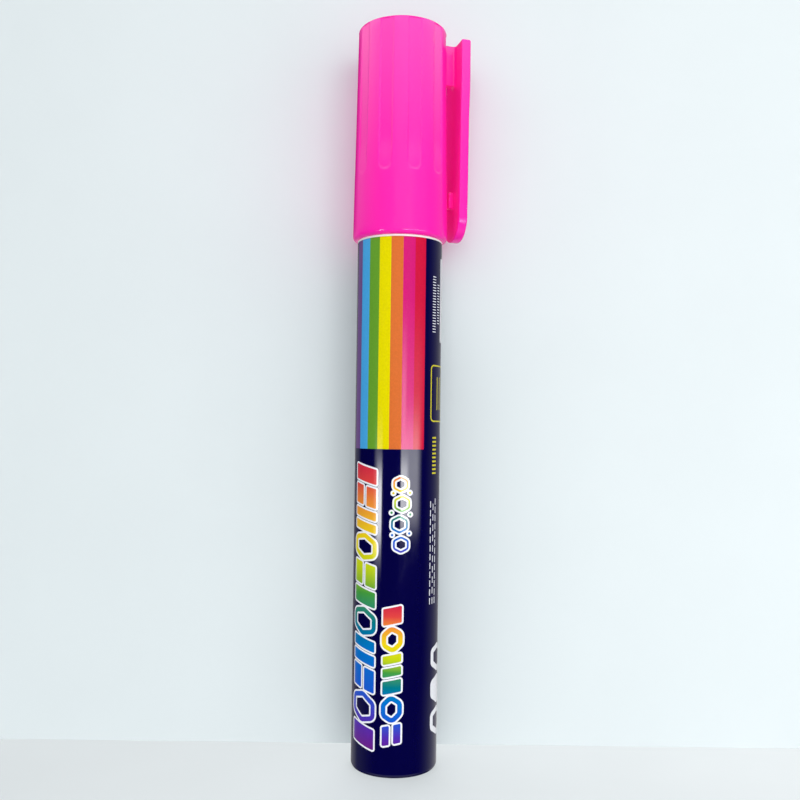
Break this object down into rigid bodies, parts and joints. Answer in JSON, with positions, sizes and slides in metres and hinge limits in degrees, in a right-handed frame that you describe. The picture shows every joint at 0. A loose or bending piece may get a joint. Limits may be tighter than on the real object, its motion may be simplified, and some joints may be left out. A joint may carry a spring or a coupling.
{
  "type": "valve marker pen",
  "caption": "Capped valve-action paint marker: film-wrapped round barrel, fluted pull-off cap with a sprung clip, press-in fibre nib, spring valve and loose mixing ball.",
  "frame": {"origin": "centre of the flat butt face that the pen stands on", "axes": "+Z along the pen's axis from the butt to the cap's top; +X from the axis towards the clip; Y completes a right-handed set"},
  "size_m": [0.0213, 0.0178, 0.138],
  "materials": {
    "pink_plastic": "glossy fluorescent pink polypropylene",
    "white_plastic": "satin natural white polypropylene",
    "printed_film": "glossy navy film printed with seven coloured stripes",
    "nib_fibre": "bonded fibre, unused",
    "dark_rubber": "matt",
    "steel": "bright stainless steel"
  },
  "bodies": {
    "pen_body": {"barrel": "white_plastic", "label_film": "printed_film", "front_section": "white_plastic", "seal_ring": "dark_rubber", "valve_housing": "white_plastic", "valve_seat": "dark_rubber", "valve_spring": "steel"},
    "cap": {"cap": "pink_plastic", "inner_cap": "white_plastic"},
    "clip": {"clip": "pink_plastic"},
    "nib": {"nib": "nib_fibre"},
    "valve_stem": {"valve_stem": "white_plastic"},
    "mixing_ball": {"mixing_ball": "steel"}
  },
  "joints": [
    {"name": "cap_pull", "type": "slide", "parent": "pen_body", "child": "cap", "axis": [0, 0, 1], "range_m": [0, 0.045]},
    {"name": "clip_flex", "type": "hinge", "parent": "cap", "child": "clip", "pos_m": [0.01148, 0, 0.12773], "axis": [0, -1, 0], "range_deg": [0, 5], "stiffness_Nm_per_rad": 1.6},
    {"name": "nib_press", "type": "slide", "parent": "pen_body", "child": "nib", "axis": [0, 0, -1], "range_m": [0, 0.0025], "stiffness_N_per_m": 1200, "springref_m": -0.001},
    {"name": "valve_lift", "type": "slide", "parent": "pen_body", "child": "valve_stem", "axis": [0, 0, -1], "range_m": [0, 0.0025], "deforming": ["valve_spring"]},
    {"name": "ball_travel", "type": "slide", "parent": "pen_body", "child": "mixing_ball", "axis": [0, 0, 1], "range_m": [0, 0.076]}
  ],
  "couplings": [
    {"joint": "valve_lift", "follows": "nib_press", "ratio": 1}
  ]
}
